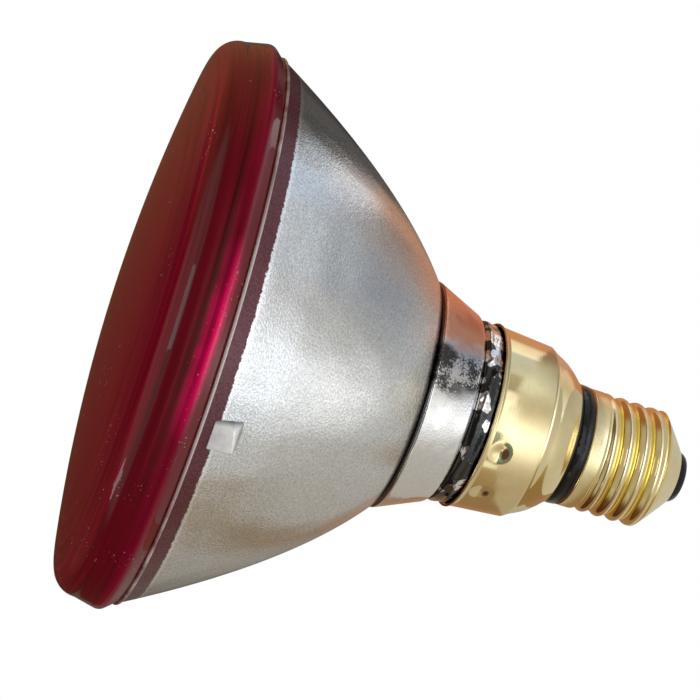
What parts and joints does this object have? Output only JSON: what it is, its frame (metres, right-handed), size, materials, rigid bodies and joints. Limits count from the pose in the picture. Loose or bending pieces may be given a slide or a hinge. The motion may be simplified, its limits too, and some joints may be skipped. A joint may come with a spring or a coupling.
{
  "type": "infrared heat lamp",
  "caption": "Sealed-beam infrared heat lamp: red glass lens on a silvered glass reflector, brass skirt and E27 screw cap, with filament and leads inside.",
  "frame": {"origin": "centre of the flat contact face at the end of the screw cap, the lowest point of the part", "axes": "+Z along the lamp axis from the centre contact to the lens; +X across the two lead posts; -Y is the side that carries the glass locating lug"},
  "size_m": [0.1222, 0.1222, 0.1295],
  "materials": {
    "red_lens": "glossy deep red glass",
    "seal_glass": "pale fused glass line",
    "silvered_glass": "stippled glass silvered on the inside, satin",
    "nickel_steel": "nickel-plated wire and pressings",
    "clear_glass": "clear",
    "tungsten": "dark grey drawn wire",
    "copper_wire": "bare copper",
    "cap_brass": "polished",
    "black_insulator": "glossy black",
    "solder": "dull grey solder"
  },
  "bodies": {
    "root": {"lens": "red_lens", "lens_seal_ring": "seal_glass", "reflector": "silvered_glass", "ferrule_right": "nickel_steel", "ferrule_left": "nickel_steel", "exhaust_tube": "clear_glass", "lead_post_right": "nickel_steel", "lead_post_left": "nickel_steel", "support_bead": "clear_glass", "filament": "tungsten", "filament_support": "tungsten", "shell_lead": "copper_wire", "contact_lead_upper": "copper_wire", "contact_lead_lower": "copper_wire", "fuse_sleeve": "clear_glass", "cap_skirt": "cap_brass", "insulating_ring": "black_insulator", "screw_shell": "cap_brass", "end_insulator": "black_insulator", "centre_contact": "cap_brass", "contact_solder": "solder"}
  },
  "joints": []
}
